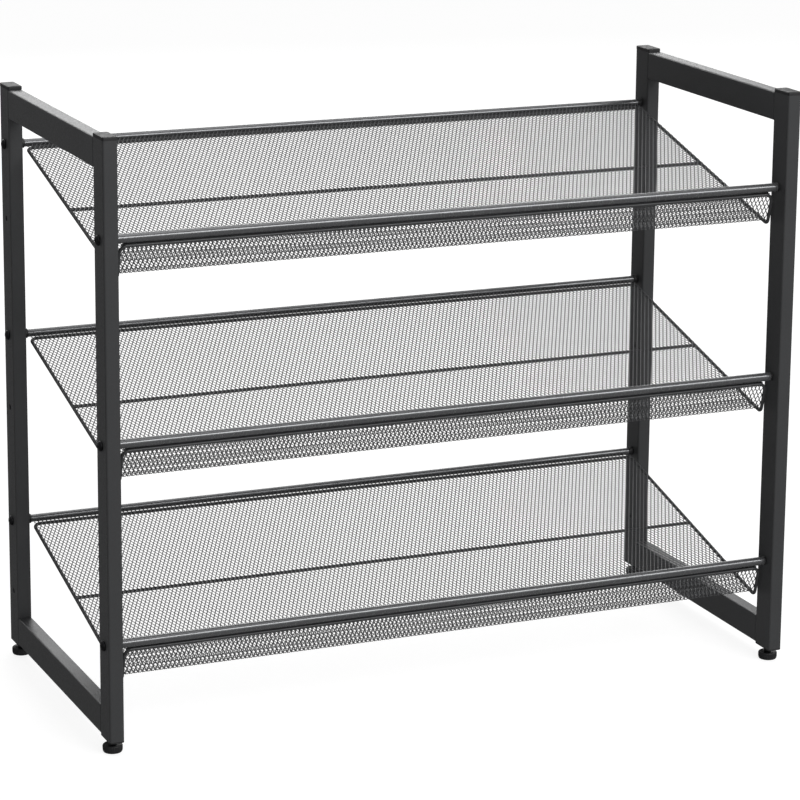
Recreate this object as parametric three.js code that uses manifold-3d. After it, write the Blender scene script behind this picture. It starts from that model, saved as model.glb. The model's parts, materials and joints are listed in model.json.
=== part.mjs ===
// Three-tier shoe rack: two welded side frames of flat steel tube, three sloping
// mesh trays bolted between them, plastic end caps and screw-in levelling feet.
// Millimetres. +X runs along the rack, -Y is the front, +Z is up, the floor is z = 0.

import * as THREE from 'three';
import { mergeVertices } from 'three/addons/utils/BufferGeometryUtils.js';
import Module from 'manifold-3d';

// ---------------------------------------------------------------- dimensions
const RACK_WIDTH = 750; // over the outer faces of the side frames
const RACK_DEPTH = 340; // over the front and rear posts
const GAP = 0.3; // clearance kept between pieces that touch

// Flat tube of the side frames, 15 x 30, used for posts and rails alike.
const TUBE_THICK = 15;
const TUBE_BROAD = 30;
const TUBE_WALL = 1.2;
const TUBE_CORNER = 2;

const FOOT_DROP = 13; // floor to the underside of the plug flange
const PLUG_FLANGE = 1.5;
const PLUG_DEPTH = 18;
const POST_BASE = FOOT_DROP + PLUG_FLANGE;
const POST_LENGTH = 597;
const POST_TOP = POST_BASE + POST_LENGTH;
const CAP_FLANGE = 3.5;
const CAP_DEPTH = 14;
const CAP_PROUD = 0.2; // how far the cap's rim stands out past the tube
const FIT_SLACK = 0.6; // plug body smaller than the bore of the tube, over both sides

const FOOT_RADIUS = 10;
const FOOT_HEIGHT = 8;
const STUD_RADIUS = 4;
const STUD_TOP = 34;
const PLUG_BORE_RADIUS = 4.3;

// Trays. Each turns about the axis of its front tube; the rear tube bolts into the
// upper of two holes (tray slopes forward) or the lower one (tray level).
const TRAY_AXIS_HEIGHTS = { bottom: 110, middle: 312, top: 514 };
const TRAY_REACH = RACK_DEPTH - TUBE_BROAD; // front tube axis to rear tube axis
const TRAY_RISE = 39; // rear hole above, or below, the front tube axis
const TRAY_SLOPE = 2 * Math.atan2(TRAY_RISE, TRAY_REACH);
const AXIS_Y = -(RACK_DEPTH - TUBE_BROAD) / 2;

const ROD_RADII = { front: 4.5, rear: 4 }; // round tubes along the tray
const ROD_WALL = 0.7;
const WIRE_RADIUS = 1.75;
const WIRE_INSET = 6; // side wires from the inner face of the posts
const WIRE_LEVEL = -41.25; // wire frame below the front axis, tray held level
const REAR_WIRE_SETBACK = 8.5; // rear run of the rim wire, forward of the rear rod's axis
const MID_WIRE_Y = 151.5; // mid wire, back from the front rod's axis
const LIP_WIRE_Y = -1;
const LIP_WIRE_DROP = 7.7; // upper run of the lip, below the front rod's axis
const WIRE_FOLD_RADIUS = 5;
const WIRE_CORNER_RADIUS = 8;
const MESH_THICK = 0.8;
const MESH_TOP = -4.9; // upper edge of the lip's mesh, just under the front rod

// Button-head bolts and the threaded bushes in the ends of the round tubes.
const BOLT_RADIUS = 2.5;
const BOLT_HEAD_RADIUS = 5.25;
const BOLT_HEAD_HEIGHT = 3.3;
const BOLT_HOLE_RADIUS = 3;
const BOLT_IN_TUBE = 11; // thread past the post in the front bolts
const BUSH_COLLAR_RADII = { front: 4.5, rear: 5 };
const BUSH_COLLARS = { front: 1.5, rear: 4.5 }; // collar between the post and the rod
const BUSH_DEPTH = 13;
const BUSH_SLACK = 0.3; // sleeve smaller than the bore of the rod
const BUSH_BORES = { front: 2.8, rear: 2.4 };

// ----------------------------------------------------------------- materials
function paint(color, roughness, metalness) {
  return new THREE.MeshStandardMaterial({ color, roughness, metalness });
}

const framePaint = () => paint(0x4a4c4e, 0.42, 0.55);
const rodPaint = () => paint(0x4c4e50, 0.38, 0.6);
const wirePaint = () => paint(0x474a4c, 0.42, 0.55);
const meshPaint = () => paint(0x3c3e40, 0.5, 0.5);
const blackPlastic = () => paint(0x1a1a1b, 0.5, 0.0);
const blackSteel = () => paint(0x18181a, 0.4, 0.6);

// ------------------------------------------------------------------ booleans
const wasm = await Module();
wasm.setup();

function toSolid(geometry) {
  const bare = geometry.clone();
  bare.deleteAttribute('normal');
  bare.deleteAttribute('uv');
  const merged = mergeVertices(bare, 1e-4);
  const mesh = new wasm.Mesh({
    numProp: 3,
    vertProperties: new Float32Array(merged.attributes.position.array),
    triVerts: new Uint32Array(merged.index.array),
  });
  mesh.merge();
  return new wasm.Manifold(mesh);
}

function toGeometry(solid) {
  const mesh = solid.getMesh();
  const geometry = new THREE.BufferGeometry();
  const positions = new THREE.BufferAttribute(new Float32Array(mesh.vertProperties), 3);
  geometry.setAttribute('position', positions);
  geometry.setIndex(new THREE.BufferAttribute(new Uint32Array(mesh.triVerts), 1));
  geometry.computeVertexNormals();
  return geometry;
}

function subtract(geometry, cutters) {
  let solid = toSolid(geometry);
  for (const cutter of cutters) {
    solid = solid.subtract(toSolid(cutter));
  }
  return toGeometry(solid);
}

function unite(first, second) {
  return toGeometry(toSolid(first).add(toSolid(second)));
}

function intersect(geometry, keepers) {
  let solid = toSolid(geometry);
  for (const keeper of keepers) {
    solid = solid.intersect(toSolid(keeper));
  }
  return toGeometry(solid);
}

// -------------------------------------------------------------------- shapes
function roundedOutline(width, height, radius, steps) {
  const points = [];
  const centres = [
    [1, 1, 0],
    [-1, 1, 1],
    [-1, -1, 2],
    [1, -1, 3],
  ];
  for (const [sx, sy, quarter] of centres) {
    for (let i = 0; i <= steps; i += 1) {
      const angle = ((quarter + i / steps) * Math.PI) / 2;
      const x = sx * (width / 2 - radius) + radius * Math.cos(angle);
      const y = sy * (height / 2 - radius) + radius * Math.sin(angle);
      points.push(new THREE.Vector2(x, y));
    }
  }
  return points;
}

// Flat tube standing on z = 0: width along X, height along Y.
function flatTube(width, height, length) {
  const shape = new THREE.Shape(roundedOutline(width, height, TUBE_CORNER, 2));
  const inside = roundedOutline(
    width - 2 * TUBE_WALL,
    height - 2 * TUBE_WALL,
    TUBE_CORNER - TUBE_WALL,
    1,
  );
  shape.holes.push(new THREE.Path(inside.reverse()));
  return new THREE.ExtrudeGeometry(shape, { depth: length, bevelEnabled: false });
}

function block(width, height, depth, radius) {
  const shape = new THREE.Shape(roundedOutline(width, height, radius, 2));
  return new THREE.ExtrudeGeometry(shape, { depth, bevelEnabled: false });
}

// Solid or hollow body of revolution about X, from a closed (x, radius) profile.
function turnedAlongX(profile, segments) {
  const points = profile.map(([x, r]) => new THREE.Vector2(r, x));
  const geometry = new THREE.LatheGeometry(points, segments);
  geometry.rotateZ(-Math.PI / 2);
  return geometry;
}

function ringProfile(inner, outer, from, to) {
  return [
    [from, inner],
    [from, outer],
    [to, outer],
    [to, inner],
    [from, inner],
  ];
}

function crossHole(height) {
  const hole = new THREE.CylinderGeometry(BOLT_HOLE_RADIUS, BOLT_HOLE_RADIUS, 40, 12);
  hole.rotateZ(Math.PI / 2);
  hole.translate(0, 0, height);
  return hole;
}

// A curve that is sampled at given stations only, so a bent wire gets its rings
// where it bends and none along its straights.
class StationCurve extends THREE.Curve {
  constructor(stations) {
    super();
    this.stations = stations;
  }

  station(t) {
    const last = this.stations.length - 1;
    return this.stations[Math.min(last, Math.max(0, Math.round(t * last)))];
  }

  getPoint(t, target = new THREE.Vector3()) {
    return target.copy(this.station(t).point);
  }

  getPointAt(t, target) {
    return this.getPoint(t, target);
  }

  getTangent(t, target = new THREE.Vector3()) {
    return target.copy(this.station(t).tangent);
  }

  getTangentAt(t, target) {
    return this.getTangent(t, target);
  }
}

// Stations along a polyline whose corners are replaced by arcs.
function filletedStations(corners, radii, steps) {
  const stations = [];
  const first = corners[0];
  const last = corners[corners.length - 1];
  const startWay = corners[1].clone().sub(first).normalize();
  const endWay = last.clone().sub(corners[corners.length - 2]).normalize();
  stations.push({ point: first.clone(), tangent: startWay });
  for (let i = 1; i < corners.length - 1; i += 1) {
    const before = corners[i].clone().sub(corners[i - 1]).normalize();
    const after = corners[i + 1].clone().sub(corners[i]).normalize();
    const turn = before.angleTo(after);
    const radius = radii[i - 1];
    const setback = radius * Math.tan(turn / 2);
    const start = corners[i].clone().addScaledVector(before, -setback);
    const side = after.clone().addScaledVector(before, -after.dot(before)).normalize();
    const centre = start.clone().addScaledVector(side, radius);
    for (let k = 0; k <= steps; k += 1) {
      const angle = (turn * k) / steps;
      const point = centre.clone();
      point.addScaledVector(before, radius * Math.sin(angle));
      point.addScaledVector(side, -radius * Math.cos(angle));
      const tangent = before.clone().multiplyScalar(Math.cos(angle));
      tangent.addScaledVector(side, Math.sin(angle));
      stations.push({ point, tangent });
    }
  }
  stations.push({ point: last.clone(), tangent: endWay });
  return stations;
}

function wireAlong(stations) {
  const section = [];
  for (let i = 0; i < 8; i += 1) {
    const angle = (i / 8) * 2 * Math.PI;
    section.push(new THREE.Vector2(Math.cos(angle), Math.sin(angle)).multiplyScalar(WIRE_RADIUS));
  }
  return new THREE.ExtrudeGeometry(new THREE.Shape(section), {
    steps: stations.length - 1,
    bevelEnabled: false,
    extrudePath: new StationCurve(stations),
  });
}

// ---------------------------------------------------------------- assembly
const rack = new THREE.Group();
rack.name = 'shoe_rack';

function addMesh(group, name, geometry, material) {
  const mesh = new THREE.Mesh(geometry, material);
  mesh.name = name;
  group.add(mesh);
  return mesh;
}

const SIDES = { left: -1, right: 1 };
const ENDS = { front: -1, rear: 1 };
const postX = RACK_WIDTH / 2 - TUBE_THICK / 2;
const innerX = RACK_WIDTH / 2 - TUBE_THICK;

// Posts: hollow flat tube, cross-drilled for the tray bolts. The rear posts have a
// second, lower hole for every tray.
function postGeometry(end) {
  const holes = [];
  for (const height of Object.values(TRAY_AXIS_HEIGHTS)) {
    const rises = end === 'rear' ? [TRAY_RISE, -TRAY_RISE] : [0];
    for (const rise of rises) {
      holes.push(crossHole(height + rise - POST_BASE));
    }
  }
  return subtract(flatTube(TUBE_THICK, TUBE_BROAD, POST_LENGTH), holes);
}

function capGeometry() {
  const rim = new THREE.Shape(
    roundedOutline(TUBE_THICK - 1.2, TUBE_BROAD - 1.2, TUBE_CORNER - 0.6, 2),
  );
  const head = new THREE.ExtrudeGeometry(rim, {
    depth: CAP_FLANGE - 1,
    bevelEnabled: true,
    bevelThickness: 1,
    bevelSize: 0.6 + CAP_PROUD,
    bevelSegments: 1,
  });
  // The lower bevel is cut off, so the rim sits flat on the tube.
  const under = new THREE.BoxGeometry(40, 60, 10);
  under.translate(0, 0, -5);
  const flat = subtract(head, [under]);
  const body = block(
    TUBE_THICK - 2 * TUBE_WALL - FIT_SLACK,
    TUBE_BROAD - 2 * TUBE_WALL - FIT_SLACK,
    CAP_DEPTH,
    0.8,
  );
  body.translate(0, 0, -CAP_DEPTH + 0.5);
  return unite(flat, body);
}

function plugGeometry() {
  const flange = block(TUBE_THICK, TUBE_BROAD, PLUG_FLANGE - GAP, TUBE_CORNER);
  const body = block(
    TUBE_THICK - 2 * TUBE_WALL - FIT_SLACK,
    TUBE_BROAD - 2 * TUBE_WALL - FIT_SLACK,
    PLUG_DEPTH,
    0.8,
  );
  const bore = new THREE.CylinderGeometry(PLUG_BORE_RADIUS, PLUG_BORE_RADIUS, 60, 16);
  bore.rotateX(Math.PI / 2);
  return subtract(unite(flange, body), [bore]);
}

function footGeometry() {
  const profile = [
    [0, 0],
    [FOOT_RADIUS - 1.6, 0],
    [FOOT_RADIUS - 0.4, 1.2],
    [FOOT_RADIUS, 3],
    [FOOT_RADIUS, FOOT_HEIGHT - 1.8],
    [FOOT_RADIUS - 0.7, FOOT_HEIGHT - 0.5],
    [FOOT_RADIUS - 2, FOOT_HEIGHT],
    [STUD_RADIUS, FOOT_HEIGHT],
    [STUD_RADIUS, STUD_TOP - 0.8],
    [STUD_RADIUS - 0.8, STUD_TOP],
    [0, STUD_TOP],
  ];
  const points = profile.map(([r, z]) => new THREE.Vector2(r, z));
  const geometry = new THREE.LatheGeometry(points, 16);
  geometry.rotateX(Math.PI / 2);
  return geometry;
}

const sideFrames = new THREE.Group();
sideFrames.name = 'side_frames';
rack.add(sideFrames);

for (const [side, sx] of Object.entries(SIDES)) {
  for (const [end, sy] of Object.entries(ENDS)) {
    const x = sx * postX;
    const y = sy * -AXIS_Y;
    const post = addMesh(sideFrames, `post_${end}_${side}`, postGeometry(end), framePaint());
    post.position.set(x, y, POST_BASE);
    const cap = addMesh(sideFrames, `cap_${end}_${side}`, capGeometry(), blackPlastic());
    cap.position.set(x, y, POST_TOP + GAP);
    const plug = addMesh(sideFrames, `plug_${end}_${side}`, plugGeometry(), blackPlastic());
    plug.position.set(x, y, FOOT_DROP);
    const foot = addMesh(sideFrames, `foot_${end}_${side}`, footGeometry(), blackPlastic());
    foot.position.set(x, y, 0);
  }
}

// Rails: the same tube laid front to back and welded between the posts.
const railLength = RACK_DEPTH - 2 * TUBE_BROAD - 2 * GAP;
for (const [side, sx] of Object.entries(SIDES)) {
  const levels = { top: POST_TOP - TUBE_BROAD / 2, bottom: POST_BASE + TUBE_BROAD / 2 };
  for (const [level, z] of Object.entries(levels)) {
    const geometry = flatTube(TUBE_THICK, TUBE_BROAD, railLength);
    geometry.rotateX(Math.PI / 2);
    geometry.translate(0, railLength / 2, 0);
    const rail = addMesh(sideFrames, `rail_${level}_${side}`, geometry, framePaint());
    rail.position.set(sx * postX, 0, z);
  }
}

// Bolts: button heads on the outer faces, all pointing inwards.
function boltGeometry(length) {
  const head = BOLT_HEAD_HEIGHT;
  const profile = [
    [0, 0],
    [0, BOLT_RADIUS],
    [length, BOLT_RADIUS],
    [length, BOLT_HEAD_RADIUS],
    [length + 0.27 * head, BOLT_HEAD_RADIUS],
    [length + 0.7 * head, 0.82 * BOLT_HEAD_RADIUS],
    [length + 0.94 * head, 0.45 * BOLT_HEAD_RADIUS],
    [length + head, 0],
  ];
  return turnedAlongX(profile, 12);
}

const bolts = new THREE.Group();
bolts.name = 'bolts';
rack.add(bolts);

for (const [tier, height] of Object.entries(TRAY_AXIS_HEIGHTS)) {
  for (const [side, sx] of Object.entries(SIDES)) {
    for (const [end, sy] of Object.entries(ENDS)) {
      const reach = end === 'front' ? TUBE_THICK + BOLT_IN_TUBE : TUBE_THICK;
      const name = `bolt_${tier}_${end}_${side}`;
      const bolt = addMesh(bolts, name, boltGeometry(reach + 0.2), blackSteel());
      bolt.rotation.z = sx > 0 ? 0 : Math.PI;
      const rise = end === 'rear' ? TRAY_RISE : 0;
      bolt.position.set(sx * (RACK_WIDTH / 2 - reach), sy * -AXIS_Y, height + rise);
    }
  }
}

// Trays are drawn level with the front tube axis at the origin, then tilted.
const rearRod = new THREE.Vector2(
  Math.hypot(TRAY_REACH, TRAY_RISE) * Math.cos(TRAY_SLOPE / 2),
  -Math.hypot(TRAY_REACH, TRAY_RISE) * Math.sin(TRAY_SLOPE / 2),
);
const wireX = innerX - WIRE_INSET;
const rearWireY = rearRod.x - REAR_WIRE_SETBACK;
const sheetRearY = rearRod.x - ROD_RADII.rear - GAP;

function rodGeometry(end) {
  const radius = ROD_RADII[end];
  const half = innerX - GAP - BUSH_COLLARS[end] - GAP;
  return turnedAlongX(ringProfile(radius - ROD_WALL, radius, -half, half), 20);
}

function bushGeometry(end) {
  const sleeve = ROD_RADII[end] - ROD_WALL - BUSH_SLACK;
  const bore = BUSH_BORES[end];
  const profile = [
    [0, bore],
    [0, BUSH_COLLAR_RADII[end]],
    [BUSH_COLLARS[end], BUSH_COLLAR_RADII[end]],
    [BUSH_COLLARS[end], sleeve],
    [BUSH_DEPTH, sleeve],
    [BUSH_DEPTH, bore],
    [0, bore],
  ];
  return turnedAlongX(profile, 12);
}

// One bent wire: along the rear rod, down both sides, folded up at the front and
// along under the front rod. Its two ends meet in the middle of the rear run.
function rimWireGeometry() {
  const corners = [
    [-GAP / 2, rearWireY, WIRE_LEVEL],
    [-wireX, rearWireY, WIRE_LEVEL],
    [-wireX, LIP_WIRE_Y, WIRE_LEVEL],
    [-wireX, LIP_WIRE_Y, -LIP_WIRE_DROP],
    [wireX, LIP_WIRE_Y, -LIP_WIRE_DROP],
    [wireX, LIP_WIRE_Y, WIRE_LEVEL],
    [wireX, rearWireY, WIRE_LEVEL],
    [GAP / 2, rearWireY, WIRE_LEVEL],
  ].map(([x, y, z]) => new THREE.Vector3(x, y, z));
  const radii = [
    WIRE_CORNER_RADIUS,
    WIRE_FOLD_RADIUS,
    WIRE_CORNER_RADIUS,
    WIRE_CORNER_RADIUS,
    WIRE_FOLD_RADIUS,
    WIRE_CORNER_RADIUS,
  ];
  return wireAlong(filletedStations(corners, radii, 5));
}

function midWireGeometry() {
  const half = wireX - WIRE_RADIUS - GAP;
  const ends = [-half, half].map((x) => new THREE.Vector3(x, MID_WIRE_Y, WIRE_LEVEL));
  return wireAlong(filletedStations(ends, [], 1));
}

// The expanded-metal mesh as a thin sheet: flat base, small fold, upright lip.
function meshSheetGeometry() {
  const under = WIRE_LEVEL + WIRE_RADIUS + GAP;
  const front = LIP_WIRE_Y + WIRE_RADIUS + GAP;
  const outer = WIRE_FOLD_RADIUS - WIRE_RADIUS - GAP;
  const foldY = front + outer;
  const foldZ = under + outer;
  const profile = [];
  for (const [radius, from, to] of [[outer, 0, 4], [outer - MESH_THICK, 4, 0]]) {
    const arc = [];
    for (let i = from; from < to ? i <= to : i >= to; i += from < to ? 1 : -1) {
      const angle = -Math.PI / 2 - (i / 4) * (Math.PI / 2);
      const y = foldY + radius * Math.cos(angle);
      const z = foldZ + radius * Math.sin(angle);
      arc.push(new THREE.Vector2(y, z));
    }
    const rear = new THREE.Vector2(sheetRearY, foldZ - radius);
    const top = new THREE.Vector2(foldY - radius, MESH_TOP);
    if (from < to) {
      profile.push(rear, ...arc, top);
    } else {
      profile.push(top, ...arc, rear);
    }
  }
  const sheet = new THREE.ExtrudeGeometry(new THREE.Shape(profile), {
    depth: 2 * wireX,
    bevelEnabled: false,
  });
  // Shape x, y, depth become Y, Z, X.
  const toTray = new THREE.Matrix4().makeBasis(
    new THREE.Vector3(0, 1, 0),
    new THREE.Vector3(0, 0, 1),
    new THREE.Vector3(1, 0, 0),
  );
  sheet.applyMatrix4(toTray);
  sheet.translate(-wireX, 0, 0);
  // Corners of the lip and of the rear edge follow the bent wire.
  const lipHeight = 60;
  const lipKeeper = block(2 * wireX, lipHeight, 400, WIRE_CORNER_RADIUS);
  lipKeeper.rotateX(Math.PI / 2);
  lipKeeper.translate(0, 350, MESH_TOP - lipHeight / 2);
  const planDepth = 400;
  const planKeeper = block(2 * wireX, planDepth, 100, WIRE_CORNER_RADIUS);
  planKeeper.translate(0, sheetRearY - planDepth / 2, -80);
  return intersect(sheet, [lipKeeper, planKeeper]);
}

for (const [tier, height] of Object.entries(TRAY_AXIS_HEIGHTS)) {
  const tray = new THREE.Group();
  tray.name = `${tier}_tray`;
  tray.position.set(0, AXIS_Y, height);
  tray.rotation.x = TRAY_SLOPE;
  rack.add(tray);

  const rods = { front: [0, 0], rear: [rearRod.x, rearRod.y] };
  for (const [end, [y, z]] of Object.entries(rods)) {
    const rod = addMesh(tray, `${tier}_${end}_rod`, rodGeometry(end), rodPaint());
    rod.position.set(0, y, z);
    for (const [side, sx] of Object.entries(SIDES)) {
      const name = `${tier}_${end}_bush_${side}`;
      const bush = addMesh(tray, name, bushGeometry(end), blackPlastic());
      bush.rotation.z = sx > 0 ? Math.PI : 0;
      bush.position.set(sx * (innerX - GAP), y, z);
    }
  }
  addMesh(tray, `${tier}_rim_wire`, rimWireGeometry(), wirePaint());
  addMesh(tray, `${tier}_mid_wire`, midWireGeometry(), wirePaint());
  addMesh(tray, `${tier}_mesh`, meshSheetGeometry(), meshPaint());
}

export default rack;
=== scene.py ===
# Three-tier shoe rack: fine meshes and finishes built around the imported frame.
# Metres, in the frame's own axes: +X along the rack, -Y is the front, +Z is up.

import json
import math

import bmesh
import bpy
from mathutils import Matrix, Vector


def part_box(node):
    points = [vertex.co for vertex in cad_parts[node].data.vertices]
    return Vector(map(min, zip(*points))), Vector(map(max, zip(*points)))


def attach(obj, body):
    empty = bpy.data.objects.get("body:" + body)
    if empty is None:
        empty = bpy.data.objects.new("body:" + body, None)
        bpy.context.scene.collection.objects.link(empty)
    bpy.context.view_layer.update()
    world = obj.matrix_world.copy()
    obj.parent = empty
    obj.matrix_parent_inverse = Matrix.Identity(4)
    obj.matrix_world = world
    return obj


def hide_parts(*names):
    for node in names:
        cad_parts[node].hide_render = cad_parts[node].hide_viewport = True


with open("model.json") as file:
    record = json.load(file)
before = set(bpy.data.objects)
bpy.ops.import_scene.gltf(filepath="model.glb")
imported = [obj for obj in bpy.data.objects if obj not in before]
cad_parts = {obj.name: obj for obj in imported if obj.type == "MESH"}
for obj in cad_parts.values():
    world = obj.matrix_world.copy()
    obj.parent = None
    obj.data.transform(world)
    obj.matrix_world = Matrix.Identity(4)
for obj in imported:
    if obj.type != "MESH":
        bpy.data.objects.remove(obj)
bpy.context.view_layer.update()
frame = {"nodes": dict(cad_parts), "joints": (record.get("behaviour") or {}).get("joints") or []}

# ---------------------------------------------------------------- dimensions
MM = 0.001
SIDES = {"left": -1, "right": 1}
ENDS = {"front": -1, "rear": 1}
TIERS = ("bottom", "middle", "top")

TUBE_WALL = 1.2 * MM
TUBE_CORNER = 2.0 * MM
CORNER_STEPS = 8
HOLE_RADIUS = 3.0 * MM
HOLE_FLARE = 0.4 * MM  # rounded edge of a drilled hole
HOLE_SIDES = 32
RAIL_GAP = 0.3 * MM  # left between rail and post in the CAD, closed here by the weld
WELD_REACH = 1.2 * MM  # how far a weld runs into the rounded corner of the post

CAP_ROUNDING = 1.0 * MM
CAP_CROWN = 0.25 * MM
CAP_BODY_INSET = 1.7 * MM  # body of the cap inside the tube, from the tube's outer face
PLUG_BODY_INSET = 1.5 * MM
PLUG_FLANGE = 1.5 * MM
PLUG_BORE = 4.3 * MM
MOULDED_EDGE = 0.4 * MM

FOOT_RADIUS = 10.0 * MM
FOOT_HEIGHT = 8.0 * MM
FOOT_RIBS = 36
FOOT_RIB_DEPTH = 0.45 * MM
STUD_RADIUS = 4.0 * MM
STUD_PITCH = 1.25 * MM
THREAD_DEPTH = 0.45 * MM
THREAD_STEPS = 6  # rings to one turn of the thread
THREAD_TIP = 0.82  # radius of the stud's end, as a share of the rest

BOLT_RADIUS = 2.5 * MM
BOLT_HEAD_RADIUS = 5.25 * MM
BOLT_HEAD_HEIGHT = 3.3 * MM
BOLT_RIM_SHARE = 0.2  # share of the head's height that is an upright rim
BOLT_CROWN_SHARE = 0.62  # share of the head's radius that the crown rounds over
SOCKET_APOTHEM = 1.5 * MM
SOCKET_RIM = 1.28  # radius of the socket's rounded mouth, as a share of its apothem
SOCKET_DEPTH = 1.7 * MM

ROD_WALL = 0.7 * MM
ROD_END_EASE = 0.25 * MM
BUSH_BORES = {"front": 2.8 * MM, "rear": 2.4 * MM}
BUSH_SLEEVE_INSET = 1.0 * MM  # sleeve of the bush inside the rod, from the rod's surface
BUSH_EASE = 0.35 * MM

ROUND_SIDES = 48
WIRE_SIDES = 16
WIRE_FOLD_RADIUS = 5.0 * MM
WIRE_CORNER_RADIUS = 8.0 * MM
BEND_STEPS = 12
WELD_SWELL = 0.5 * MM
BEAD_STEP = 0.6 * MM
BEAD_SWELLS = (0.45, 0.30, 0.08)  # shares of WELD_SWELL, from the middle of the weld
JOINT_STATIONS = (0.0, 1.2 * MM, 2.4 * MM, 4.0 * MM)  # from the end of the mid wire
JOINT_SWELLS = (1.0, 0.7, 0.2, 0.0)  # shares of WELD_SWELL at those stations

# Expanded metal: diamonds with their long way down the tray.
DIAMOND_SHORT = 4.5 * MM
DIAMOND_LONG = 9.0 * MM
BOND_HALF_LENGTH = 1.35 * MM
BOND_HALF_WIDTH = 0.50 * MM
STRAND_HALF_THICKNESS = 0.46 * MM
PAINTED_SHADE_STRIP = 3.2 * MM  # solid strip along the lip's upper edge, a dark sheet put in as painted shade for the dark line between rod and lip wire
PAINTED_SHADE_STRIP_STEPS = 4
CAD_SHEET_HALF_THICKNESS = 0.4 * MM
FOLD_CUTS = 2
CORNER_CUTS = 2


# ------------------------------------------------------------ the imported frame
def tray_matrix(tier):
    """From a tray's own axes, origin on the front rod's axis and base level, to the rack's."""
    joint = next(j for j in frame["joints"] if j["name"] == f"{tier}_tray_tilt")
    slope = math.radians(max(joint["range_deg"]))
    return Matrix.Translation(joint["pos_m"]) @ Matrix.Rotation(slope, 4, "X")


def local_box(node, matrix):
    """Lowest and highest corner of a CAD node, in the axes that matrix comes from."""
    back = matrix.inverted()
    points = [back @ v.co for v in frame["nodes"][node].data.vertices]
    low = Vector(min(p[i] for p in points) for i in range(3))
    high = Vector(max(p[i] for p in points) for i in range(3))
    return low, high


def middle_of(node):
    """Centre of a CAD node's box."""
    low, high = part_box(node)
    return (low + high) / 2


# ------------------------------------------------------------------- materials
class Shader:
    """A Principled material with a few short ways to add procedural detail."""

    def __init__(self, name, roughness, metallic=0.0, specular=0.5):
        self.material = bpy.data.materials.new(name)
        self.material.use_nodes = True
        self.tree = self.material.node_tree
        self.surface = self.tree.nodes["Principled BSDF"]
        self.surface.inputs["Metallic"].default_value = metallic
        self.surface.inputs["Roughness"].default_value = roughness
        self.surface.inputs["Specular IOR Level"].default_value = specular
        self.place = self.tree.nodes.new("ShaderNodeTexCoord").outputs["Object"]
        self.normal = None

    def link(self, source, socket):
        self.tree.links.new(source, socket)

    def noise(self, size, detail=2.0, stretch=None):
        """Noise from 0 to 1 whose features are about size metres across."""
        place = self.place
        if stretch:
            mapping = self.tree.nodes.new("ShaderNodeMapping")
            mapping.inputs["Scale"].default_value = stretch
            self.link(place, mapping.inputs["Vector"])
            place = mapping.outputs["Vector"]
        texture = self.tree.nodes.new("ShaderNodeTexNoise")
        texture.inputs["Scale"].default_value = 1.0 / size
        texture.inputs["Detail"].default_value = detail
        self.link(place, texture.inputs["Vector"])
        return texture.outputs["Fac"]

    def remap(self, value, low, high, start=0.3, stop=0.7):
        """Maps value's range start..stop onto low..high."""
        node = self.tree.nodes.new("ShaderNodeMapRange")
        node.inputs["From Min"].default_value = start
        node.inputs["From Max"].default_value = stop
        node.inputs["To Min"].default_value = low
        node.inputs["To Max"].default_value = high
        self.link(value, node.inputs["Value"])
        return node.outputs["Result"]

    def multiply(self, first, second):
        node = self.tree.nodes.new("ShaderNodeMath")
        node.operation = "MULTIPLY"
        self.link(first, node.inputs[0])
        self.link(second, node.inputs[1])
        return node.outputs["Value"]

    def colour(self, dark, light, factor):
        node = self.tree.nodes.new("ShaderNodeMix")
        node.data_type = "RGBA"
        node.inputs["A"].default_value = (*dark, 1.0)
        node.inputs["B"].default_value = (*light, 1.0)
        self.link(factor, node.inputs["Factor"])
        self.link(node.outputs["Result"], self.surface.inputs["Base Color"])

    def bump(self, height, distance, strength=1.0):
        node = self.tree.nodes.new("ShaderNodeBump")
        node.inputs["Strength"].default_value = strength
        node.inputs["Distance"].default_value = distance
        self.link(height, node.inputs["Height"])
        if self.normal is not None:
            self.link(self.normal, node.inputs["Normal"])
        self.normal = node.outputs["Normal"]
        self.link(self.normal, self.surface.inputs["Normal"])


def powder_coat(name, shade, roughness, metallic, relief=1.0):
    """Baked powder paint: orange-peel skin, fine flecks and a faint cloudiness."""
    shader = Shader(name, roughness, metallic)
    fleck = shader.noise(0.35 * MM, detail=3.0)
    cloud = shader.noise(60 * MM, detail=2.0)
    peel = shader.noise(1.3 * MM, detail=1.5)
    mixed = shader.multiply(shader.remap(fleck, 0.35, 1.0), shader.remap(cloud, 0.8, 1.0))
    dark = tuple(0.72 * c for c in shade)
    light = tuple(1.22 * c for c in shade)
    shader.colour(dark, light, mixed)
    rough = shader.remap(peel, roughness - 0.06, roughness + 0.07)
    shader.link(rough, shader.surface.inputs["Roughness"])
    shader.bump(peel, 0.030 * relief * MM)
    shader.bump(fleck, 0.010 * relief * MM)
    return shader.material


def moulded_plastic(name, shade, roughness):
    """Spark-eroded texture of a small black moulding."""
    shader = Shader(name, roughness)
    grain = shader.noise(0.25 * MM, detail=3.0)
    rub = shader.noise(7 * MM, detail=3.0)
    shader.colour(tuple(0.8 * c for c in shade), tuple(1.3 * c for c in shade), rub)
    rough = shader.remap(rub, roughness - 0.06, roughness + 0.08)
    shader.link(rough, shader.surface.inputs["Roughness"])
    shader.bump(grain, 0.020 * MM)
    return shader.material


def black_oxide(name):
    """Blackened steel with faint turning marks and rubbed patches."""
    shader = Shader(name, 0.34, metallic=0.9)
    rub = shader.noise(1.6 * MM, detail=3.0)
    grain = shader.noise(0.12 * MM, detail=2.0)
    shader.colour((0.020, 0.020, 0.022), (0.045, 0.045, 0.048), rub)
    shader.link(shader.remap(rub, 0.27, 0.46), shader.surface.inputs["Roughness"])
    shader.bump(grain, 0.004 * MM)
    return shader.material


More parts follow.
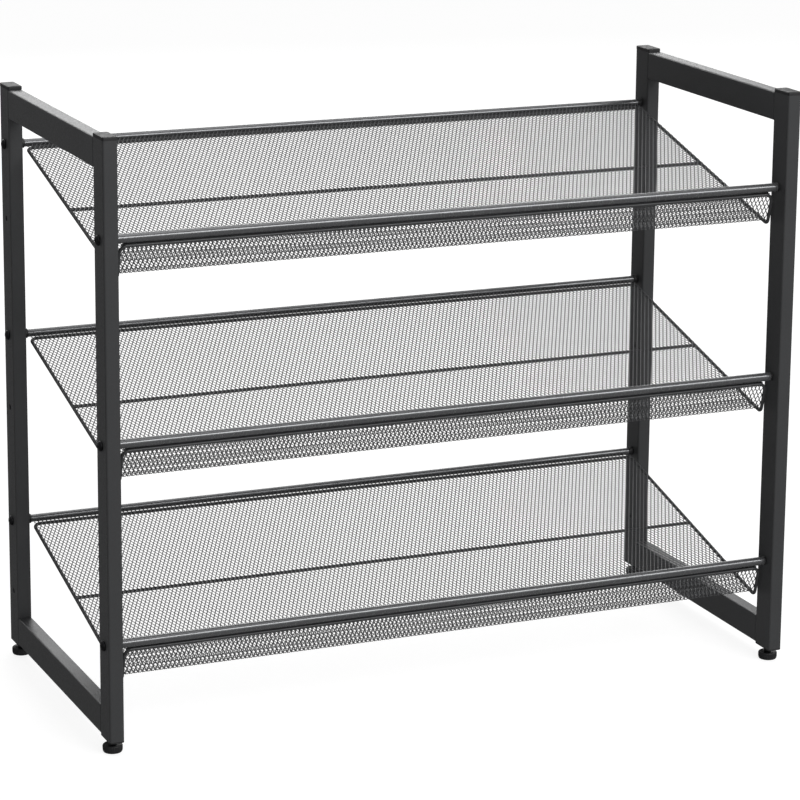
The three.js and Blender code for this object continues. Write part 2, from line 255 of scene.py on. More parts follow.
FRAME_PAINT = powder_coat("frame powder coat", (0.052, 0.053, 0.055), 0.40, 0.35)
ROD_PAINT = powder_coat("rod powder coat", (0.130, 0.132, 0.136), 0.22, 0.65, relief=0.25)
WIRE_PAINT = powder_coat("wire powder coat", (0.045, 0.046, 0.048), 0.40, 0.35)
MESH_PAINT = powder_coat("mesh powder coat", (0.080, 0.081, 0.084), 0.38, 0.50)
CAP_PLASTIC = moulded_plastic("cap plastic", (0.012, 0.012, 0.013), 0.55)
FOOT_PLASTIC = moulded_plastic("foot plastic", (0.010, 0.010, 0.011), 0.50)
BOLT_STEEL = black_oxide("black oxide steel")


# ------------------------------------------------------------------- mesh tools
def circle(radius, height=0.0, sides=ROUND_SIDES):
    """Ring of points round Z; the half step keeps it in line with rounded_rectangle."""
    angles = [(k + 0.5) * 2 * math.pi / sides for k in range(sides)]
    return [Vector((radius * math.cos(a), radius * math.sin(a), height)) for a in angles]


def rounded_rectangle(width, depth, radius, height, steps=CORNER_STEPS):
    """Ring of 4 * (steps + 1) points round Z, starting in the first quadrant."""
    points = []
    for quarter, (sx, sy) in enumerate(((1, 1), (-1, 1), (-1, -1), (1, -1))):
        for i in range(steps + 1):
            angle = (quarter + i / steps) * math.pi / 2
            x = sx * (width / 2 - radius) + radius * math.cos(angle)
            y = sy * (depth / 2 - radius) + radius * math.sin(angle)
            points.append(Vector((x, y, height)))
    return points


def bridge(bm, first, second):
    """Quads between two loops of equal length."""
    count = len(first)
    for i in range(count):
        j = (i + 1) % count
        bm.faces.new((first[i], first[j], second[j], second[i]))


def loft(rings, closed=False, bm=None):
    """Skin over rings of equal length. closed joins the last to the first, else both are capped."""
    bm = bm or bmesh.new()
    loops = [[bm.verts.new(p) for p in ring] for ring in rings]
    for first, second in zip(loops, loops[1:]):
        bridge(bm, first, second)
    if closed:
        bridge(bm, loops[-1], loops[0])
    else:
        bm.faces.new(loops[0])
        bm.faces.new(loops[-1])
    bmesh.ops.recalc_face_normals(bm, faces=bm.faces)
    return bm


def lathe(profile, sides=ROUND_SIDES, closed=False):
    """Body of revolution about Z from (radius, height) pairs."""
    return loft([circle(r, z, sides) for r, z in profile], closed)


def rounded_edge(outer, height, radius, turn, steps=4):
    """(inset, height) pairs round an edge: turn 1 rounds over upwards, -1 downwards."""
    pairs = []
    for i in range(steps + 1):
        angle = i / steps * math.pi / 2
        inset = radius * (1 - math.cos(angle))
        pairs.append((outer - inset, height + turn * radius * (math.sin(angle) - 1)))
    return pairs


def to_mesh(bm, name, matrix=None):
    """Turns bm into a mesh with smooth faces and hard edges over 35 degrees."""
    mesh = bpy.data.meshes.new(name)
    bm.to_mesh(mesh)
    bm.free()
    if matrix is not None:
        mesh.transform(matrix)
    mesh.polygons.foreach_set("use_smooth", [True] * len(mesh.polygons))
    mesh.set_sharp_from_angle(angle=math.radians(35))
    return mesh


def add_piece(mesh, node, body, material, weighted=True):
    """The fine piece that stands for a CAD node."""
    piece = bpy.data.objects.new(f"{node}_fine", mesh)
    bpy.context.scene.collection.objects.link(piece)
    mesh.materials.clear()
    mesh.materials.append(material)
    if weighted:
        normals = piece.modifiers.new("face area normals", "WEIGHTED_NORMAL")
        normals.keep_sharp = True
    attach(piece, body)
    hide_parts(node)
    return piece


def cut(mesh, cutter_bm):
    """mesh minus the solid in cutter_bm."""
    base = bpy.data.objects.new("cut_base", mesh)
    tool = bpy.data.objects.new("cut_tool", bpy.data.meshes.new("cut_tool"))
    cutter_bm.to_mesh(tool.data)
    cutter_bm.free()
    for each in (base, tool):
        bpy.context.scene.collection.objects.link(each)
    modifier = base.modifiers.new("holes", "BOOLEAN")
    modifier.operation = "DIFFERENCE"
    modifier.solver = "EXACT"
    modifier.object = tool
    view = bpy.context.evaluated_depsgraph_get()
    result = bpy.data.meshes.new_from_object(base.evaluated_get(view), depsgraph=view)
    for each in (base, tool):
        bpy.data.objects.remove(each)
    result.polygons.foreach_set("use_smooth", [True] * len(result.polygons))
    result.set_sharp_from_angle(angle=math.radians(35))
    return result


def along_x(direction, place):
    """Matrix that lays a body's +Z along +X or -X and moves it to place."""
    return Matrix.Translation(place) @ Matrix.Rotation(direction * math.pi / 2, 4, "Y")


# ------------------------------------------------------------------ side frames
def post_mesh(node, holes):
    """Open tube with bolt holes drilled through it along X at the given heights."""
    low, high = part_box(node)
    width, depth = high.x - low.x, high.y - low.y
    centre = middle_of(node)
    inner_radius = TUBE_CORNER - TUBE_WALL
    inner = (width - 2 * TUBE_WALL, depth - 2 * TUBE_WALL, inner_radius)
    rings = [
        rounded_rectangle(width, depth, TUBE_CORNER, low.z),
        rounded_rectangle(width, depth, TUBE_CORNER, high.z),
        rounded_rectangle(*inner, high.z),
        rounded_rectangle(*inner, low.z),
    ]
    offset = Matrix.Translation((centre.x, centre.y, 0))
    mesh = to_mesh(loft(rings, closed=True), node, offset)
    drills = bmesh.new()
    flare = HOLE_RADIUS + HOLE_FLARE
    half = width / 2
    for height in holes:
        profile = [
            (flare + 1 * MM, -half - 1 * MM),
            (flare, -half),
            (HOLE_RADIUS, -half + HOLE_FLARE),
            (HOLE_RADIUS, half - HOLE_FLARE),
            (flare, half),
            (flare + 1 * MM, half + 1 * MM),
        ]
        turn = along_x(1, (centre.x, centre.y, height))
        rings = [[turn @ p for p in circle(r, z, HOLE_SIDES)] for r, z in profile]
        loft(rings, bm=drills)
    return cut(mesh, drills)


def rail_mesh(node):
    """Tube between two posts, its ends run into the posts' rounded corners as a weld."""
    low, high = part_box(node)
    width, depth = high.x - low.x, high.z - low.z
    half = (high.y - low.y) / 2
    touch = half + RAIL_GAP
    outside = [
        (-touch - WELD_REACH, 1.0 * MM),
        (-touch - 0.1 * MM, 0.45 * MM),
        (-touch + 0.5 * MM, 0.05 * MM),
        (-touch + 1.0 * MM, 0.0),
    ]
    outside += [(-y, inset) for y, inset in reversed(outside)]
    rings = []
    for y, inset in outside:
        corner = TUBE_CORNER - 0.5 * inset
        rings.append(rounded_rectangle(width - 2 * inset, depth - 2 * inset, corner, y))
    wall = 2 * TUBE_WALL
    for y in (half, -half):
        rings.append(rounded_rectangle(width - wall, depth - wall, TUBE_CORNER - TUBE_WALL, y))
    lay = Matrix.Translation(middle_of(node)) @ Matrix.Rotation(math.pi / 2, 4, "X")
    return to_mesh(loft(rings, closed=True), node, lay)


def cap_mesh(node, post):
    """Push-in cap: rounded rim, faint crown, and a plug body with a chamfered end."""
    low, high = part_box(node)
    centre = middle_of(node)
    width, depth = high.x - low.x, high.y - low.y
    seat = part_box(post)[1].z
    body_width, body_depth = width - 2 * CAP_BODY_INSET, depth - 2 * CAP_BODY_INSET
    rings = [
        rounded_rectangle(body_width - 1 * MM, body_depth - 1 * MM, 0.6 * MM, low.z),
        rounded_rectangle(body_width, body_depth, 1.0 * MM, low.z + 1 * MM),
        rounded_rectangle(body_width, body_depth, 1.0 * MM, seat),
        rounded_rectangle(width - 0.3 * MM, depth - 0.3 * MM, TUBE_CORNER, seat),
        rounded_rectangle(width, depth, TUBE_CORNER, seat + 0.2 * MM),
    ]
    crown_start = high.z - CAP_CROWN
    for inset, z in rounded_edge(0.0, crown_start, CAP_ROUNDING, 1):
        rings.append(rounded_rectangle(width + 2 * inset, depth + 2 * inset, TUBE_CORNER, z))
    inner = 2 * (CAP_ROUNDING + 1.5 * MM)
    rings.append(rounded_rectangle(width - inner, depth - inner, 1.0 * MM, high.z - 0.08 * MM))
    rings.append(rounded_rectangle(width - 2 * inner, depth - 2 * inner, 0.8 * MM, high.z))
    return to_mesh(loft(rings), node, Matrix.Translation((centre.x, centre.y, 0)))


def plug_mesh(node):
    """Foot insert: thin flange under the post, body inside it, round hole for the stud."""
    low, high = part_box(node)
    centre = middle_of(node)
    width, depth = high.x - low.x, high.y - low.y
    sides = 4 * (CORNER_STEPS + 1)
    edge = MOULDED_EDGE
    body_width, body_depth = width - 2 * PLUG_BODY_INSET, depth - 2 * PLUG_BODY_INSET
    rings = [
        circle(PLUG_BORE, low.z + edge, sides),
        circle(PLUG_BORE + edge, low.z, sides),
        rounded_rectangle(width - 2 * edge, depth - 2 * edge, TUBE_CORNER, low.z),
        rounded_rectangle(width, depth, TUBE_CORNER, low.z + edge),
        rounded_rectangle(width, depth, TUBE_CORNER, low.z + PLUG_FLANGE - 0.1 * MM),
        rounded_rectangle(body_width, body_depth, 1.0 * MM, low.z + PLUG_FLANGE),
        rounded_rectangle(body_width, body_depth, 1.0 * MM, high.z - 1 * MM),
        rounded_rectangle(body_width - 1 * MM, body_depth - 1 * MM, 0.8 * MM, high.z),
        circle(PLUG_BORE + 0.3 * MM, high.z, sides),
    ]
    bm = loft(rings, closed=True)
    return to_mesh(bm, node, Matrix.Translation((centre.x, centre.y, 0)))


def foot_mesh(node):
    """Levelling foot: ribbed grip, rounded sole, threaded stud."""
    low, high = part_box(node)
    centre = middle_of(node)
    sides = FOOT_RIBS * 6
    # radius, height, share of the rib depth
    profile = [
        (0.15 * FOOT_RADIUS, 0.0, 0.0),
        (0.80 * FOOT_RADIUS, 0.0, 0.0),
        (0.90 * FOOT_RADIUS, 0.05 * FOOT_HEIGHT, 0.0),
        (0.96 * FOOT_RADIUS, 0.17 * FOOT_HEIGHT, 0.0),
        (0.985 * FOOT_RADIUS, 0.30 * FOOT_HEIGHT, 0.2),
        (1.0 * FOOT_RADIUS, 0.40 * FOOT_HEIGHT, 1.0),
        (1.0 * FOOT_RADIUS, 0.82 * FOOT_HEIGHT, 1.0),
        (0.96 * FOOT_RADIUS, 0.93 * FOOT_HEIGHT, 0.5),
        (0.88 * FOOT_RADIUS, 1.0 * FOOT_HEIGHT, 0.0),
        (0.55 * FOOT_RADIUS, 1.0 * FOOT_HEIGHT, 0.0),
        (STUD_RADIUS + 0.3 * MM, 1.0 * FOOT_HEIGHT, 0.0),
    ]
    rings = []
    for radius, height, share in profile:
        ring = []
        for k in range(sides):
            angle = (k + 0.5) * 2 * math.pi / sides
            rib = 0.5 * (1 - math.cos(angle * FOOT_RIBS))
            r = radius - share * FOOT_RIB_DEPTH * rib
            ring.append(Vector((r * math.cos(angle), r * math.sin(angle), height)))
        rings.append(ring)
    rings += thread_rings(FOOT_HEIGHT + 0.05 * MM, high.z - low.z, sides)
    place = Matrix.Translation((centre.x, centre.y, low.z))
    return to_mesh(loft(rings), node, place)


def thread_rings(start, stop, sides):
    """Rings of a helical thread round Z that fades out at its top."""
    rings = []
    step = STUD_PITCH / THREAD_STEPS
    count = int((stop - start) / step)
    for i in range(count + 1):
        height = start + i * step
        fade = min(1.0, (stop - height) / (1.5 * STUD_PITCH))
        ring = []
        for k in range(sides):
            angle = (k + 0.5) * 2 * math.pi / sides
            phase = (height / STUD_PITCH - angle / (2 * math.pi)) % 1.0
            groove = THREAD_DEPTH * abs(2 * phase - 1)
            r = (STUD_RADIUS - groove) * (THREAD_TIP + (1 - THREAD_TIP) * fade)
            ring.append(Vector((r * math.cos(angle), r * math.sin(angle), height)))
        rings.append(ring)
    return rings


def hexagon(apothem, height, sides=ROUND_SIDES):
    """Hexagonal ring of points round Z, as many as in a circle of the same sides."""
    ring = []
    for k in range(sides):
        angle = (k + 0.5) * 2 * math.pi / sides
        local = (angle % (math.pi / 3)) - math.pi / 6
        r = apothem / math.cos(local)
        ring.append(Vector((r * math.cos(angle), r * math.sin(angle), height)))
    return ring


def bolt_mesh(node, direction):
    """Button-head bolt with a hexagon socket, its head outwards."""
    low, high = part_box(node)
    centre = middle_of(node)
    length = high.x - low.x - BOLT_HEAD_HEIGHT
    head = BOLT_HEAD_HEIGHT
    rings = [
        circle(BOLT_RADIUS - 0.5 * MM, 0.0),
        circle(BOLT_RADIUS, 0.5 * MM),
        circle(BOLT_RADIUS, length),
        circle(BOLT_HEAD_RADIUS - 0.2 * MM, length),
        circle(BOLT_HEAD_RADIUS, length + 0.2 * MM),
        circle(BOLT_HEAD_RADIUS, length + BOLT_RIM_SHARE * head),
    ]
    steps = 8
    for i in range(1, steps):
        angle = i / steps * math.pi / 2
        radius = BOLT_HEAD_RADIUS * (1 - BOLT_CROWN_SHARE * (1 - math.cos(angle)))
        rise = BOLT_RIM_SHARE + (1 - BOLT_RIM_SHARE) * math.sin(angle)
        rings.append(circle(radius, length + head * rise))
    rings += [
        circle(SOCKET_APOTHEM * SOCKET_RIM, length + head),
        hexagon(SOCKET_APOTHEM, length + head - 0.15 * MM),
        hexagon(SOCKET_APOTHEM, length + head - SOCKET_DEPTH),
        circle(0.2 * SOCKET_APOTHEM, length + head - SOCKET_DEPTH - 0.5 * MM),
    ]
    inner_x = low.x if direction > 0 else high.x
    place = along_x(direction, (inner_x, centre.y, centre.z))
    return to_mesh(loft(rings), node, place)


def build_side_frames():
    tilts = {j["name"]: j for j in frame["joints"]}
    axis_heights = [tilts[f"{tier}_tray_tilt"]["pos_m"][2] for tier in TIERS]
    bolt_heights = [middle_of(f"bolt_{tier}_rear_left").z for tier in TIERS]
    lower_heights = [2 * a - b for a, b in zip(axis_heights, bolt_heights)]
    for side in SIDES:
        for end in ENDS:
            node = f"post_{end}_{side}"
            holes = axis_heights if end == "front" else bolt_heights + lower_heights
            add_piece(post_mesh(node, holes), node, "frame", FRAME_PAINT)
            cap = f"cap_{end}_{side}"
            add_piece(cap_mesh(cap, node), cap, "frame", CAP_PLASTIC)
            plug = f"plug_{end}_{side}"
            add_piece(plug_mesh(plug), plug, "frame", CAP_PLASTIC)
            foot = f"foot_{end}_{side}"
            body = f"{end}_{side}_foot"
            add_piece(foot_mesh(foot), foot, body, FOOT_PLASTIC)
        for level in ("top", "bottom"):
            node = f"rail_{level}_{side}"
            add_piece(rail_mesh(node), node, "frame", FRAME_PAINT)


def build_bolts():
    for tier in TIERS:
        for end in ENDS:
            for side, direction in SIDES.items():
                node = f"bolt_{tier}_{end}_{side}"
                mesh = bolt_mesh(node, direction)
                add_piece(mesh, node, "frame", BOLT_STEEL)


# ------------------------------------------------------------------------ trays
def filleted(corners, radii, steps=BEND_STEPS):
    """Points along a polyline whose inner corners are replaced by arcs."""
    points = [corners[0]]
    for before, corner, after, radius in zip(corners, corners[1:], corners[2:], radii):
        way_in = (corner - before).normalized()
        way_out = (after - corner).normalized()
        turn = way_in.angle(way_out)
        start = corner - way_in * radius * math.tan(turn / 2)
        side = (way_out - way_in * way_out.dot(way_in)).normalized()
        centre = start + side * radius
        for i in range(steps + 1):
            angle = turn * i / steps
            points.append(
                centre
                + way_in * radius * math.sin(angle)
                - side * radius * math.cos(angle)
            )
    points.append(corners[-1])
    return points


def sweep(points, radii, sides=WIRE_SIDES):
    """Round wire through points; the section turns with the path and doesn't twist."""
    tangents = []
    last = len(points) - 1
    for i in range(len(points)):
        ahead = points[min(last, i + 1)] - points[i]
        behind = points[i] - points[max(0, i - 1)]
        tangents.append((ahead.normalized() + behind.normalized()).normalized())
    up = Vector((0, 0, 1)) if abs(tangents[0].z) < 0.9 else Vector((0, 1, 0))
    normal = (up - tangents[0] * up.dot(tangents[0])).normalized()
    rings = []
    for i, (point, tangent) in enumerate(zip(points, tangents)):
        if i:
            normal = tangents[i - 1].rotation_difference(tangent) @ normal
            normal = (normal - tangent * normal.dot(tangent)).normalized()
        other = tangent.cross(normal)
        ring = []
        for k in range(sides):
            angle = k * 2 * math.pi / sides
            spoke = normal * math.cos(angle) + other * math.sin(angle)
            ring.append(point + spoke * radii[i])
        rings.append(ring)
    return loft(rings)


def rod_mesh(node, matrix):
    """Round tube, its end edges slightly rounded."""
    low, high = local_box(node, matrix)
    radius = (high.z - low.z) / 2
    half = (high.x - low.x) / 2
    bore = radius - ROD_WALL
    ease = ROD_END_EASE
    profile = [
        (bore, -half),
        (radius - ease, -half),
        (radius, -half + ease),
        (radius, half - ease),
        (radius - ease, half),
        (bore, half),
    ]
    centre = (low + high) / 2
    return to_mesh(lathe(profile, closed=True), node, matrix @ along_x(1, centre))


def bush_mesh(node, rod, bore, matrix, direction):
    """Collar against the post with a sleeve that runs into the rod."""
    low, high = local_box(node, matrix)
    collar_radius = (high.z - low.z) / 2
    length = high.x - low.x
    rod_low, rod_high = local_box(rod, matrix)
    collar = high.x - rod_high.x if direction > 0 else rod_low.x - low.x
    sleeve = (rod_high.z - rod_low.z) / 2 - BUSH_SLEEVE_INSET
    ease = BUSH_EASE
    profile = [
        (bore, 0.0),
        (collar_radius - ease, 0.0),
        (collar_radius, ease),
        (collar_radius, collar - ease),
        (collar_radius - ease, collar - 0.05 * MM),
        (sleeve, collar - 0.05 * MM),
        (sleeve, length - ease),
        (sleeve - ease, length),
        (bore, length),
    ]
    centre = (low + high) / 2
    outer = high.x if direction > 0 else low.x
    place = along_x(-direction, (outer, centre.y, centre.z))
    return to_mesh(lathe(profile, closed=True), node, matrix @ place)


def wire_measures(tier, matrix):
    """Radius of the wires, and where their centre lines run in the tray's frame."""
    low, high = local_box(f"{tier}_rim_wire", matrix)
    mid_low, mid_high = local_box(f"{tier}_mid_wire", matrix)
    radius = (mid_high.z - mid_low.z) / 2
    return {
        "radius": radius,
        "side": high.x - radius,
        "rear": high.y - radius,
        "lip": low.y + radius,
        "base": low.z + radius,
        "top": high.z - radius,
        "mid": (mid_low.y + mid_high.y) / 2,
    }


def rim_wire_mesh(tier, matrix):
    """One bent wire whose ends are butt welded in the middle of the rear run."""
    wire = wire_measures(tier, matrix)
    side, rear, lip, base, top = (wire[k] for k in ("side", "rear", "lip", "base", "top"))
    corners = [
        Vector((0, rear, base)),
        Vector((-side, rear, base)),
        Vector((-side, lip, base)),
        Vector((-side, lip, top)),
        Vector((side, lip, top)),
        Vector((side, lip, base)),
        Vector((side, rear, base)),
        Vector((0, rear, base)),
    ]
    radii = [WIRE_CORNER_RADIUS, WIRE_FOLD_RADIUS, WIRE_CORNER_RADIUS]
    points = filleted(corners, radii + radii[::-1])
    bead = [Vector((-k * BEAD_STEP, 0, 0)) for k in (1, 2, 3)]
    points[1:1] = [points[0] + b for b in bead]
    points[-1:-1] = [points[-1] - b for b in reversed(bead)]
    thickness = [wire["radius"]] * len(points)
    for k, swell in enumerate(BEAD_SWELLS):
        thickness[k] += swell * WELD_SWELL
        thickness[-1 - k] += swell * WELD_SWELL
    return to_mesh(sweep(points, thickness), f"{tier}_rim_wire", matrix)


def mid_wire_mesh(tier, matrix):
    """Straight wire across the tray, welded to the side wires at both ends."""
    wire = wire_measures(tier, matrix)
    half = wire["side"] - 0.6 * wire["radius"]
    stations = [-half + s for s in JOINT_STATIONS]
    stations += [-x for x in reversed(stations)]
    swells = JOINT_SWELLS + JOINT_SWELLS[::-1]
    points = [Vector((x, wire["mid"], wire["base"])) for x in stations]
    thickness = [wire["radius"] + s * WELD_SWELL for s in swells]
    return to_mesh(sweep(points, thickness), f"{tier}_mid_wire", matrix)


class Sheet:
    """The mesh sheet of a tray: where its flat pattern goes once it is bent."""

    def __init__(self, tier, matrix):
        low, high = local_box(f"{tier}_mesh", matrix)
        wire = wire_measures(tier, matrix)
        half_cad = CAD_SHEET_HALF_THICKNESS
        self.half_width = (high.x - low.x) / 2
        self.rear = high.y
        self.base = low.z + half_cad
        self.lip = low.y + half_cad
        self.top = high.z
        above_wire = self.base - wire["base"] - wire["radius"]
        self.bend = WIRE_FOLD_RADIUS - wire["radius"] - above_wire
        self.fold_y = self.lip + self.bend
        self.fold_z = self.base + self.bend
        self.fold_start = self.rear - self.fold_y
        self.fold_stop = self.fold_start + self.bend * math.pi / 2
        self.length = self.fold_stop + self.top - self.fold_z

    def bent(self, flat):
        """Where a point of the flat pattern lies: x across, y from the rear edge, z thickness."""
        x, s, t = flat
        if s <= self.fold_start:
            return Vector((x, self.rear - s, self.base + t))
        if s >= self.fold_stop:
            return Vector((x, self.lip + t, self.fold_z + s - self.fold_stop))
        angle = (s - self.fold_start) / self.bend
        reach = self.bend - t
        y = self.fold_y - reach * math.sin(angle)
        z = self.fold_z - reach * math.cos(angle)
        return Vector((x, y, z))


def diamond_lattice(half_width, length):
    """Flat expanded metal, larger than the sheet.

    Strands have a diamond section, and z is the thickness. Joints lie where i + j is even
    and openings where it is odd.
    """
    half_short, half_long = DIAMOND_SHORT / 2, DIAMOND_LONG / 2
    columns = int(half_width / half_short) + 2
    rows = int(length / half_long) + 3
    verts, faces = [], []
    tops, bottoms, openings = {}, {}, {}

    def add(x, y, z):
        verts.append((x, y, z))
        return len(verts) - 1

    for i in range(-columns, columns + 1):
        for j in range(-2, rows + 1):
            x, y = i * half_short, j * half_long
            if (i + j) % 2 == 0:
                tops[i, j] = add(x, y, STRAND_HALF_THICKNESS)
                bottoms[i, j] = add(x, y, -STRAND_HALF_THICKNESS)
            else:
                openings[i, j] = (
                    add(x - half_short + BOND_HALF_WIDTH, y, 0),
                    add(x + half_short - BOND_HALF_WIDTH, y, 0),
                    add(x, y - half_long + BOND_HALF_LENGTH, 0),
                    add(x, y + half_long - BOND_HALF_LENGTH, 0),
                )
    for i, j in tops:
        for rise in (1, -1):
            end = (i + 1, j + rise)
            above, beside = (i, j + rise), (i + 1, j)
            if end not in tops or above not in openings or beside not in openings:
                continue
            near, far = (2, 3) if rise > 0 else (3, 2)
            one = (openings[above][1], openings[above][near])
            two = (openings[beside][0], openings[beside][far])
            for level, flip in ((tops, rise > 0), (bottoms, rise < 0)):
                a, b = level[i, j], level[end]
                for quad in ((a, b, one[0], one[1]), (b, a, two[0], two[1])):
                    faces.append(quad if flip else quad[::-1])
    return verts, faces


def expanded_metal(sheet):
    """The diamond lattice cut to the sheet's rounded outline and folded up at the lip."""
    verts, faces = diamond_lattice(sheet.half_width, sheet.length)
    flat = bpy.data.meshes.new("flat_lattice")
    flat.from_pydata(verts, [], faces)
    bm = bmesh.new()
    bm.from_mesh(flat)
    bpy.data.meshes.remove(flat)
    bmesh.ops.delete(bm, geom=[v for v in bm.verts if not v.link_faces], context="VERTS")
    half, long, corner = sheet.half_width, sheet.length, WIRE_CORNER_RADIUS
    planes = [
        ((half, 0, 0), (1, 0, 0)),
        ((-half, 0, 0), (-1, 0, 0)),
        ((0, 0, 0), (0, -1, 0)),
        ((0, long, 0), (0, 1, 0)),
    ]
    for sx in (-1, 1):
        for sy, y in ((-1, corner), (1, long - corner)):
            for k in range(1, CORNER_CUTS + 1):
                angle = k / (CORNER_CUTS + 1) * math.pi / 2
                way = Vector((sx * math.cos(angle), sy * math.sin(angle), 0))
                centre = Vector((sx * (half - corner), y, 0))
                planes.append((centre + way * corner, way))
    for place, way in planes:
        trim(bm, Vector(place), Vector(way), clear=True)
    for k in range(FOLD_CUTS + 1):
        s = sheet.fold_start + (sheet.fold_stop - sheet.fold_start) * k / FOLD_CUTS
        trim(bm, Vector((0, s, 0)), Vector((0, 1, 0)), clear=False)
    # dark solid strip under the rod: painted shade for the gap between rod and lip wire
    add_painted_shade_strip(bm, sheet)
    for vert in bm.verts:
        vert.co = sheet.bent(vert.co)
    bmesh.ops.recalc_face_normals(bm, faces=bm.faces)
    return bm


def add_painted_shade_strip(bm, sheet):
    """Solid strip along the lip's upper edge, a dark sheet that stands for the shade between rod
    and lip wire; its ends follow the rounded corners.
    """
    corner = WIRE_CORNER_RADIUS
    half_thickness = 0.7 * STRAND_HALF_THICKNESS
    section = ((-1, -1), (1, -1), (1, 1), (-1, 1))
    rings = []
    for k in range(PAINTED_SHADE_STRIP_STEPS + 1):
        from_edge = PAINTED_SHADE_STRIP * (1 - k / PAINTED_SHADE_STRIP_STEPS)
        s = sheet.length - from_edge
        x = sheet.half_width - corner + math.sqrt(corner**2 - (corner - from_edge) ** 2)
        rings.append([Vector((a * x, s, b * half_thickness)) for a, b in section])
    loft(rings, bm=bm)


def trim(bm, place, way, clear):
    """Splits bm at a plane. clear takes away what lies beyond it and closes the cut strands."""
    margin = 1.2 * DIAMOND_LONG

    def beyond(vert):
        return (vert.co - place).dot(way)

    verts = [v for v in bm.verts if beyond(v) > -margin]
    keep = set(verts)
    edges = [e for e in bm.edges if e.verts[0] in keep and e.verts[1] in keep]
    faces = [f for f in bm.faces if all(v in keep for v in f.verts)]
    if not clear:
        edges = [e for e in edges if any(beyond(v) < margin for v in e.verts)]
        faces = [f for f in faces if any(beyond(v) < margin for v in f.verts)]
        verts = list({v for e in edges for v in e.verts})
    done = bmesh.ops.bisect_plane(
        bm,
        geom=verts + edges + faces,
        plane_co=place,
        plane_no=way,
        dist=1e-7,
        clear_outer=clear,
    )
    if clear:
        rims = [g for g in done["geom_cut"] if isinstance(g, bmesh.types.BMEdge) and g.is_valid]
        bmesh.ops.holes_fill(bm, edges=[e for e in rims if e.is_boundary], sides=0)


def build_tray(tier, metal):
    matrix = tray_matrix(tier)
    body = f"{tier}_tray"
    for end in ENDS:
        rod = f"{tier}_{end}_rod"
        add_piece(rod_mesh(rod, matrix), rod, body, ROD_PAINT)
        for side, direction in SIDES.items():
            bush = f"{tier}_{end}_bush_{side}"
            mesh = bush_mesh(bush, rod, BUSH_BORES[end], matrix, direction)
            add_piece(mesh, bush, body, CAP_PLASTIC)
    rim, mid = f"{tier}_rim_wire", f"{tier}_mid_wire"
    add_piece(rim_wire_mesh(tier, matrix), rim, body, WIRE_PAINT)
    add_piece(mid_wire_mesh(tier, matrix), mid, body, WIRE_PAINT)
    sheet = metal.copy()
    sheet.transform(matrix)
    sheet.polygons.foreach_set("use_smooth", [True] * len(sheet.polygons))
    add_piece(sheet, f"{tier}_mesh", body, MESH_PAINT, weighted=False)


def build_trays():
    first = TIERS[0]
    metal = bpy.data.meshes.new("expanded_metal")
    bm = expanded_metal(Sheet(first, tray_matrix(first)))
    bm.to_mesh(metal)
    bm.free()
    for tier in TIERS:
        build_tray(tier, metal)
    bpy.data.meshes.remove(metal)


# ------------------------------------------------------------------------ stage
CAMERA_PLACE = Vector((-1.2894, -3.0001, 1.1548))
CAMERA_YAW = 0.4066
CAMERA_PITCH = 0.2299
CAMERA_ROLL = 0.0087
CAMERA_LENS = 144.81
CAMERA_RISE = -0.125
FLOOR_SIZE = 30.0
FLOOR_GLOW = 0.85  # a lit white floor, so that the rack casts only a faint shadow
WORLD_STRENGTH = 0.52


def add_camera():
    """Long lens from the front left, a little above the top tray."""
    data = bpy.data.cameras.new("camera")
    data.sensor_width = 36.0
    data.lens = CAMERA_LENS
    data.shift_y = CAMERA_RISE
    camera = bpy.data.objects.new("camera", data)
    bpy.context.scene.collection.objects.link(camera)
    turn = Matrix.Rotation(-CAMERA_YAW, 4, "Z")
    tip = Matrix.Rotation(math.pi / 2 - CAMERA_PITCH, 4, "X")
    roll = Matrix.Rotation(CAMERA_ROLL, 4, "Z")
    camera.matrix_world = Matrix.Translation(CAMERA_PLACE) @ turn @ tip @ roll
    bpy.context.scene.camera = camera


def add_softbox(name, place, target, width, height, power):
    """Rectangular light aimed at target and out of the camera's sight."""
    data = bpy.data.lights.new(name, "AREA")
    data.shape = "RECTANGLE"
    data.size = width
    data.size_y = height
    data.energy = power
    light = bpy.data.objects.new(name, data)
    bpy.context.scene.collection.objects.link(light)
    aim = (Vector(target) - Vector(place)).to_track_quat("-Z", "Y")
    light.matrix_world = Matrix.Translation(place) @ aim.to_matrix().to_4x4()
    light.visible_camera = False


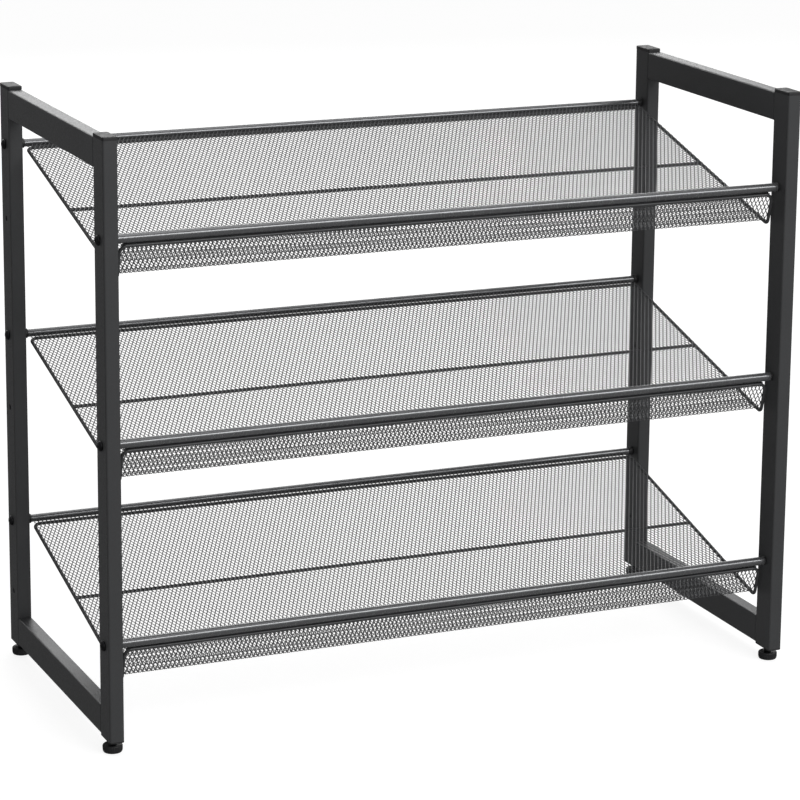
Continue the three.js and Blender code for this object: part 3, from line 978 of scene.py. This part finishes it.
def add_floor():
    """Plain pale floor that glows faintly and stays out of reflections."""
    bm = bmesh.new()
    bmesh.ops.create_grid(bm, x_segments=4, y_segments=4, size=FLOOR_SIZE)
    mesh = bpy.data.meshes.new("floor")
    bm.to_mesh(mesh)
    bm.free()
    floor = bpy.data.objects.new("floor", mesh)
    bpy.context.scene.collection.objects.link(floor)
    shader = Shader("pale floor", 0.9)
    shader.colour((0.24, 0.24, 0.24), (0.26, 0.26, 0.26), shader.noise(400 * MM))
    shader.surface.inputs["Emission Color"].default_value = (1, 1, 1, 1)
    shader.surface.inputs["Emission Strength"].default_value = FLOOR_GLOW
    mesh.materials.append(shader.material)
    floor.visible_glossy = False


def fade(tree, value, start, stop, low):
    """From low to 1 as value goes from start to stop."""
    node = tree.nodes.new("ShaderNodeMapRange")
    node.inputs["From Min"].default_value = start
    node.inputs["From Max"].default_value = stop
    node.inputs["To Min"].default_value = low
    node.inputs["To Max"].default_value = 1.0
    tree.links.new(value, node.inputs["Value"])
    return node.outputs["Result"]


def add_world():
    """Soft light from all round, dimmer below the horizon and from the left."""
    world = bpy.data.worlds.new("studio")
    bpy.context.scene.world = world
    world.use_nodes = True
    tree = world.node_tree
    background = tree.nodes["Background"]
    direction = tree.nodes.new("ShaderNodeTexCoord").outputs["Generated"]
    split = tree.nodes.new("ShaderNodeSeparateXYZ")
    tree.links.new(direction, split.inputs["Vector"])
    both = tree.nodes.new("ShaderNodeMath")
    both.operation = "MULTIPLY"
    tree.links.new(fade(tree, split.outputs["Z"], -0.15, 0.15, 0.35), both.inputs[0])
    tree.links.new(fade(tree, split.outputs["X"], -0.7, 0.3, 0.35), both.inputs[1])
    tree.links.new(both.outputs["Value"], background.inputs["Color"])
    background.inputs["Strength"].default_value = WORLD_STRENGTH


def build_stage():
    add_camera()
    add_floor()
    add_world()
    add_softbox("back softbox", (0.6, 3.4, 1.9), (0, 0, 0.3), 3.5, 1.4, 48)
    add_softbox("key softbox", (0.9, -2.7, 2.0), (0, 0, 0.4), 2.4, 1.0, 53)
    add_softbox("top softbox", (0.2, 0.2, 3.2), (0, 0, 0.3), 2.4, 2.4, 25)
    bpy.context.scene.view_settings.view_transform = "Standard"


build_stage()
build_side_frames()
build_bolts()
build_trays()
